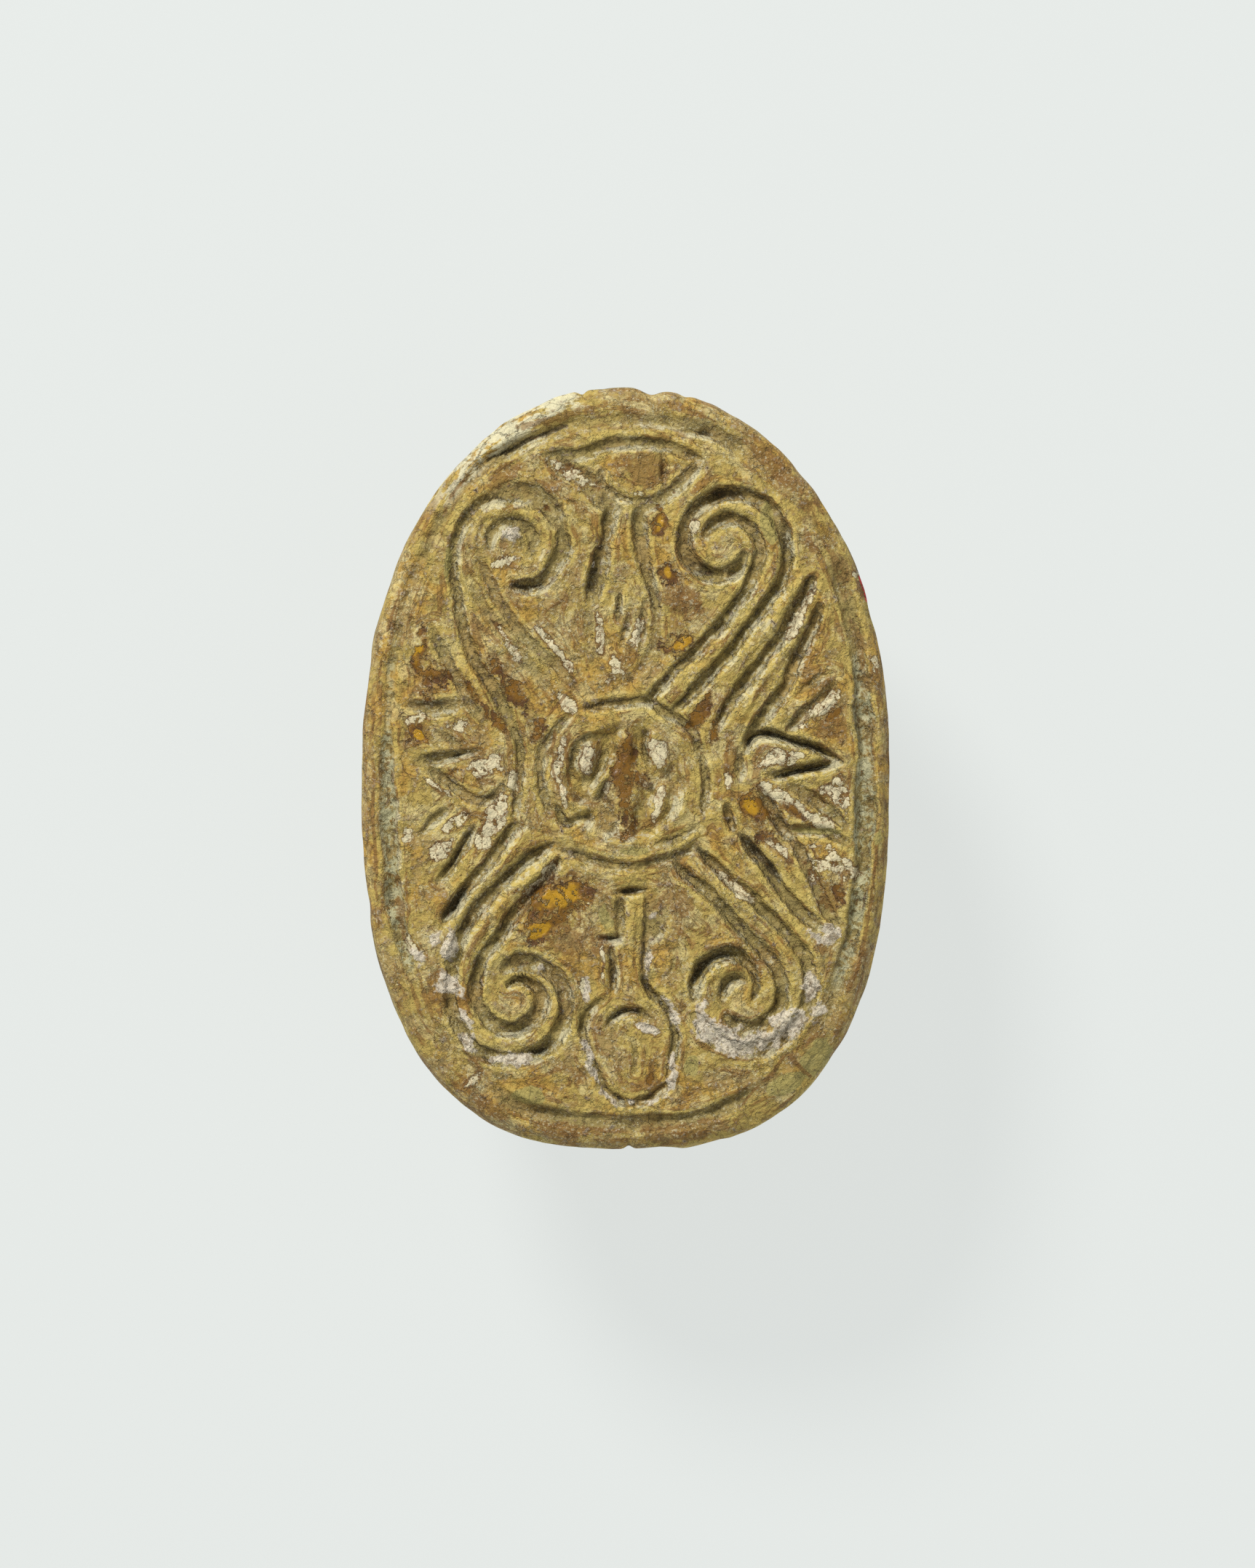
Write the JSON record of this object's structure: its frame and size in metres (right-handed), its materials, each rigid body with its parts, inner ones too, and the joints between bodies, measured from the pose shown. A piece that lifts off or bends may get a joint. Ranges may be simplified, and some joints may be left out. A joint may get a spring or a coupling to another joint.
{
  "type": "scarab seal",
  "caption": "Oval carved stone seal, a beetle on one side and an engraved face of scrolls, leaves and a round motif on the other, bored lengthwise.",
  "frame": {"origin": "on the surface that the seal lies on, under the middle of its box", "axes": "+Z out of the engraved face, +Y towards the beetle's head, +X to the right when the face is seen with the head end up"},
  "size_m": [0.0138, 0.02, 0.0086],
  "materials": {
    "glazed_steatite": "ancient carved steatite: worn ochre and tan surface with remnants of amber glaze, grey-olive groove floors and white crust"
  },
  "bodies": {
    "root": {"scarab": "glazed_steatite"}
  },
  "joints": []
}
